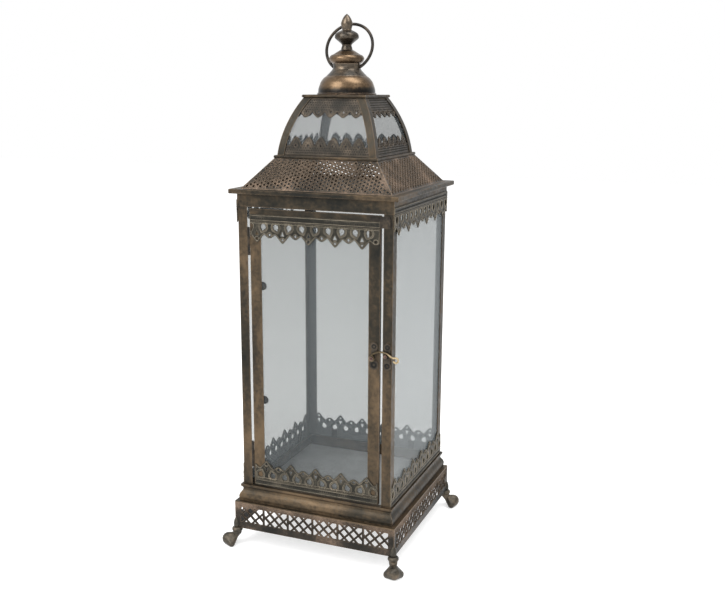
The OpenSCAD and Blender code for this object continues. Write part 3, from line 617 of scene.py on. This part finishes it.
def cupola_dots(name):
    """Staggered rows of small raised dots over a curved pierced strip, clear of its rims."""
    sheet = sheet_of(name)
    tree = BVHTree.FromBMesh(sheet)
    low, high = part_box(name)
    half = max(high.x, high.y)
    around = [Vector()] + circle(Vector(), RIGHT, UP, LACE_MARGIN, MARGIN_POINTS)
    dots = bmesh.new()
    for quarter in range(4):
        turn = quarter_turn(quarter)
        for row in range(int((high.z - low.z) / (LACE_PITCH * ROW_STEP))):
            for i in range(int(2 * half / LACE_PITCH)):
                at = Vector((-half + LACE_PITCH * (i + row % 2 / 2), -OUTSIDE,
                             low.z + LACE_PITCH * ROW_STEP * (row + 0.5)))
                hits = [tree.ray_cast(turn @ (at + step), turn @ -OUT, OUTSIDE) for step in around]
                if any(hit[0] is None for hit in hits):
                    continue
                spot, normal = hits[0][0], hits[0][1]
                if normal.dot(turn @ OUT) > LEAST_FACING:
                    stud(dots, spot, turn @ RIGHT, normal, LACE_RADIUS, LACE_SIDES)
    sheet.free()
    add_piece(name + "_beads", dots, "lantern", groove_metal)


def cupola_trims():
    """Grooves, lines and dots on the curved strips of the cupola."""
    for name in ("cupola_trims_top", "cupola_trims_bottom"):
        relief(name, "lantern", TRIM_GROOVE, TRIM_LINE, leaf_metal, grooved=True)
        cupola_dots(name)


def band_dots():
    """A row of dark dots along the plain edge of every flat strip."""
    for name, body, quarters, ends in FLAT_TRIMS:
        low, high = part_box(name)
        half = high.x - ends
        face = max(high.x, -low.y) - STRIP_BEAD
        height = high.z - BAND_INSET if name.endswith("top") else low.z + BAND_INSET
        form = bmesh.new()
        for quarter in quarters:
            stud_row(form, quarter, Vector((-half, -face, height)), int(2 * half / BAND_PITCH),
                     BAND_PITCH, BAND_RADIUS)
        add_piece(name + "_dots", form, body, groove_metal)


# ---- The roof, the plinth and the feet ----

# Raised lines round the holes: how far from the rim, and how wide
ROOF_INSET = 0.2 * MM
ROOF_LINE = 0.9 * MM
PLINTH_INSET = 0.1 * MM
PLINTH_LINE = 1.2 * MM
# Rows of dots under the plinth's top edge, their pitch and radius, and how far from its corners
STUD_DROPS = (1.6 * MM, 3.8 * MM, 6.0 * MM)
STUD_PITCH = 2.6 * MM
STUD_RADIUS = 0.95 * MM
STUD_ENDS = 2.5 * MM
# The tongue of a foot: how far its middle is in from the plinth's corner, its radius before the
# swell, the least radius, its height, and how far it reaches below the plinth
TONGUE_INSET = 1.5 * MM
TONGUE_RADIUS = 5.2 * MM
TONGUE_TIP = 0.05 * MM
TONGUE_HEIGHT = 19 * MM
TONGUE_BELOW = 2 * MM
# Its swell is this share of the radius at the foot, less this share at the top
TONGUE_SWELL = 1.15
TONGUE_TAPER = 0.5
TONGUE_RINGS = 9
TONGUE_SIDES = 12


def pierced_sheets():
    """Lines round the holes of the roof and the plinth."""
    for side in SIDES:
        relief("roof_" + side, "lantern", ROOF_INSET, ROOF_LINE, roof_metal, outline=False)
        relief("plinth_" + side, "lantern", PLINTH_INSET, PLINTH_LINE, plinth_metal,
               outline=False, rise=0.8)


def plinth_studs():
    """Rows of raised dots along the top band of the plinth."""
    low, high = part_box("plinth_front")
    half = high.x - STUD_ENDS
    form = bmesh.new()
    for quarter in range(4):
        for row, drop in enumerate(STUD_DROPS):
            start = Vector((-half + row % 2 * STUD_PITCH / 2, low.y, high.z - drop))
            stud_row(form, quarter, start, int(2 * half / STUD_PITCH), STUD_PITCH, STUD_RADIUS)
    add_piece("plinth_studs", form, "lantern", plinth_metal)


def tongue(form, foot):
    """An upright pear shape, closed at both ends, that starts at a point."""
    rows = []
    for i in range(TONGUE_RINGS + 1):
        share = i / TONGUE_RINGS
        swell = math.sqrt(max(0.0, 1 - (2 * share - 1) ** 2)) * (TONGUE_SWELL - TONGUE_TAPER * share)
        ring = circle(foot + UP * TONGUE_HEIGHT * share, RIGHT, -OUT,
                      max(TONGUE_RADIUS * swell, TONGUE_TIP), TONGUE_SIDES)
        rows.append([form.verts.new(point) for point in ring])
    for before, after in zip(rows, rows[1:]):
        for k in range(TONGUE_SIDES):
            beside = (k + 1) % TONGUE_SIDES
            form.faces.new((before[k], before[beside], after[beside], after[k]))
    form.faces.new(rows[0][::-1])
    form.faces.new(rows[-1])


def foot_tongues():
    """The cast tongue of each foot that laps up over the plinth's corner."""
    low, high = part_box("plinth_front")
    corner = high.x - TONGUE_INSET
    form = bmesh.new()
    for x in (-corner, corner):
        for y in (-corner, corner):
            tongue(form, Vector((x, y, low.z - TONGUE_BELOW)))
    add_piece("foot_tongues", form, "lantern", materials["cast_bronze"])


# ---- The latch ----

# Lobes with a boss: across from the plate's middle line, up from the rivet, and radius
LATCH_LOBES = ((2.4 * MM, 17 * MM, 5.6 * MM), (2.4 * MM, -9.8 * MM, 7.0 * MM))
KEEPER_LOBES = ((0.3 * MM, 17.2 * MM, 5.5 * MM), (-0.6 * MM, 4.5 * MM, 5.5 * MM),
                (0, -9.6 * MM, 6.2 * MM))
# The raised ring of a boss: its outside as a share of the lobe's radius, its width and its height
RING_REACH = 0.88
RING_WIDTH = 0.9 * MM
RING_RISE = 0.24 * MM
# The dark ring inside it: its outside and its width as shares of the lobe's radius, and its height
HOLLOW_REACH = 0.66
HOLLOW_WIDTH = 0.42
HOLLOW_RISE = 0.2 * MM
CIRCLE_POINTS = 20


def round_rim(centre, radius):
    """A circle on the front, as a rim that a bead can follow, with its middle to the left."""
    return [(point, OUT) for point in circle(centre, RIGHT, UP, radius, CIRCLE_POINTS)]


def lobe_bosses(name, body, middle, lobes):
    """A dark hollow and a raised ring on each lobe of a latch plate, lower than the wire hook."""
    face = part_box(name)[0].y
    hollows, rings = bmesh.new(), bmesh.new()
    for across, up, radius in lobes:
        centre = Vector((middle.x + across, face, middle.z + up))
        bead(rings, round_rim(centre, radius * RING_REACH), 0, RING_WIDTH, RING_RISE)
        bead(hollows, round_rim(centre, radius * HOLLOW_REACH), 0, radius * HOLLOW_WIDTH, HOLLOW_RISE,
             steps=3)
    add_piece(name + "_rings", rings, body, lace_metal)
    add_piece(name + "_hollows", hollows, body, groove_metal)


def latch_bosses():
    """The bosses on the door's plate, whose middle is the rivet, and on the post's."""
    rivet = next(Vector(joint["pos_m"]) for joint in frame["joints"] if joint["name"] == "hook_swing")
    low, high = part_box("post_front_right")
    post_middle = Vector(((low.x + high.x) / 2, low.y, rivet.z))
    lobe_bosses("latch_plate", "door", rivet, LATCH_LOBES)
    lobe_bosses("keeper_plate", "lantern", post_middle, KEEPER_LOBES)


# ---- The room, the light and the camera ----

# The floor: half its width, the scale and the tones of its faint clouds, and how much it glows
FLOOR_HALF = 6.0
FLOOR_CLOUDS = 3.0
FLOOR_STOPS = [(0.3, grey(0.60)), (0.7, grey(0.62))]
FLOOR_GLOW = 0.55
# Lamps: name, azimuth and elevation in degrees, distance and size in metres, and power in watts
LAMPS = (("key", -25, 38, 2.2, (1.2, 1.6), 38),
         ("side", 80, 70, 2.2, (1.0, 1.8), 38),
         ("front_low", 10, 8, 2.6, (1.4, 0.8), 9))
# The height that the lamps look at
LIT_HEIGHT = 0.4


def floor():
    """A plain pale floor."""
    mesh = bpy.data.meshes.new("floor")
    form = bmesh.new()
    bmesh.ops.create_grid(form, x_segments=1, y_segments=1, size=FLOOR_HALF)
    form.to_mesh(mesh)
    form.free()
    obj = bpy.data.objects.new("floor", mesh)
    bpy.context.scene.collection.objects.link(obj)
    mat, tree, out = new_material("pale_floor")
    shader = tree.nodes.new("ShaderNodeBsdfPrincipled")
    tone = ramp(tree, noise(tree, place(tree), FLOOR_CLOUDS), FLOOR_STOPS)
    tree.links.new(tone, shader.inputs["Base Color"])
    shader.inputs["Roughness"].default_value = 0.9
    shader.inputs["Specular IOR Level"].default_value = 0.0
    shader.inputs["Emission Color"].default_value = (1.0, 1.0, 1.0, 1.0)
    shader.inputs["Emission Strength"].default_value = FLOOR_GLOW
    tree.links.new(shader.outputs["BSDF"], out.inputs["Surface"])
    mesh.materials.append(mat)


def toward(azimuth, elevation):
    """The way from the lantern to a place at these angles, where azimuth 0 is in front of the door."""
    return Vector((math.sin(azimuth) * math.cos(elevation), -math.cos(azimuth) * math.cos(elevation),
                   math.sin(elevation)))


def area_light(name, azimuth, elevation, distance, size, power):
    """A soft rectangular lamp that looks at the lantern."""
    data = bpy.data.lights.new(name, "AREA")
    data.shape = "RECTANGLE"
    data.size, data.size_y = size
    data.energy = power
    obj = bpy.data.objects.new(name, data)
    bpy.context.scene.collection.objects.link(obj)
    way = toward(math.radians(azimuth), math.radians(elevation))
    obj.location = UP * LIT_HEIGHT + way * distance
    obj.rotation_euler = (-way).to_track_quat("-Z", "Y").to_euler()


def room():
    """An even white surround, and the lamps."""
    world = bpy.data.worlds.new("studio")
    world.use_nodes = True
    surround = world.node_tree.nodes["Background"]
    surround.inputs["Color"].default_value = (1.0, 1.0, 1.0, 1.0)
    surround.inputs["Strength"].default_value = 1.0
    bpy.context.scene.world = world
    for lamp in LAMPS:
        area_light(*lamp)


def camera():
    """The photograph's camera, with its small roll."""
    back = toward(VIEW_AZIMUTH, VIEW_ELEVATION)
    right = Vector((math.cos(VIEW_AZIMUTH), math.sin(VIEW_AZIMUTH), 0))
    up = back.cross(right)
    cos_roll, sin_roll = math.cos(VIEW_ROLL), math.sin(VIEW_ROLL)
    turned_right = right * cos_roll + up * sin_roll
    turned_up = up * cos_roll - right * sin_roll
    data = bpy.data.cameras.new("camera")
    data.sensor_width = SENSOR_MM
    data.lens = LENS_MM
    data.clip_start = NEAREST_SEEN
    obj = bpy.data.objects.new("camera", data)
    bpy.context.scene.collection.objects.link(obj)
    aim = right * AIM_RIGHT + UP * AIM_HEIGHT
    turn = Matrix((turned_right, turned_up, back)).transposed().to_4x4()
    obj.matrix_world = Matrix.Translation(aim + back * VIEW_DISTANCE) @ turn
    bpy.context.scene.camera = obj


flat_trims()
cupola_trims()
pierced_sheets()
latch_bosses()
band_dots()
plinth_studs()
foot_tongues()
floor()
room()
camera()
bpy.context.scene.view_settings.view_transform = "Standard"
